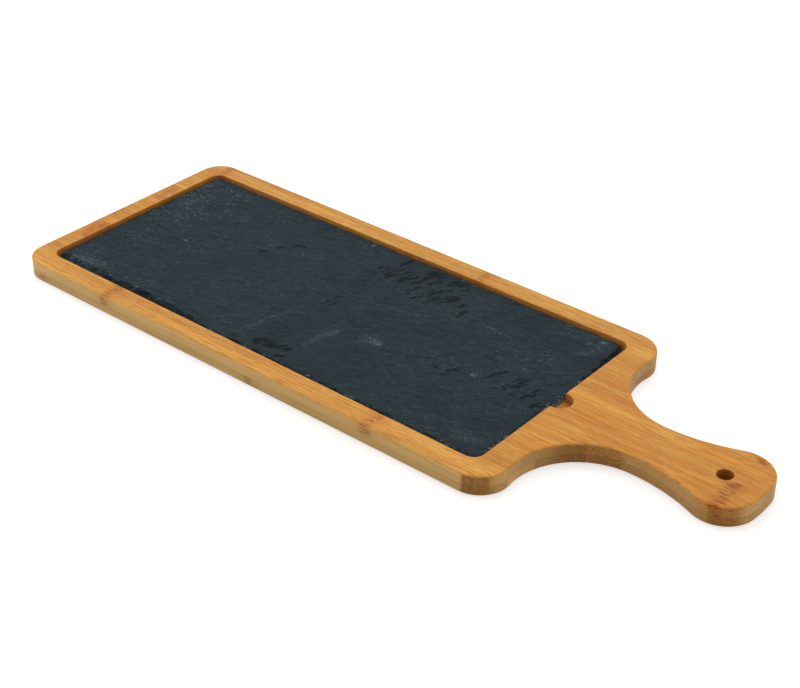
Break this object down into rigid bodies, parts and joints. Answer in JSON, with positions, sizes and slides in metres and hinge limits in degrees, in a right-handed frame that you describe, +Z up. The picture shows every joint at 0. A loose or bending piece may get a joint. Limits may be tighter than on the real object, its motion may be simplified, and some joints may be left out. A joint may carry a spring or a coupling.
{
  "type": "slate serving board",
  "caption": "Paddle-shaped bamboo serving board with a routed recess that holds a loose slate slab, with a finger notch and a hanging hole.",
  "frame": {"origin": "bottom centre of the bounding box: on the underside, half way along the board and on its long axis", "axes": "+X along the board from the plain end to the grip's tip, +Z up out of the slate, +Y to the left when looking along +X"},
  "size_m": [0.4119, 0.15, 0.011],
  "materials": {
    "upper_bamboo": "satin",
    "lower_bamboo": "satin",
    "slate": "matte"
  },
  "bodies": {
    "board": {"upper_strip_1": "upper_bamboo", "upper_strip_2": "upper_bamboo", "upper_strip_3": "upper_bamboo", "upper_strip_4": "upper_bamboo", "upper_strip_5": "upper_bamboo", "upper_strip_6": "upper_bamboo", "upper_strip_7": "upper_bamboo", "upper_strip_8": "upper_bamboo", "upper_strip_3_grip_end": "upper_bamboo", "lower_strip_1": "lower_bamboo", "lower_strip_2": "lower_bamboo", "lower_strip_3": "lower_bamboo", "lower_strip_4": "lower_bamboo", "lower_strip_5": "lower_bamboo", "lower_strip_6": "lower_bamboo", "lower_strip_7": "lower_bamboo", "lower_strip_8": "lower_bamboo", "lower_strip_3_grip_end": "lower_bamboo"},
    "slate_slab": {"slate": "slate"}
  },
  "joints": [
    {"name": "slate_lift", "type": "slide", "parent": "board", "child": "slate_slab", "axis": [0, 0, 1], "range_m": [0, 0.04]}
  ]
}
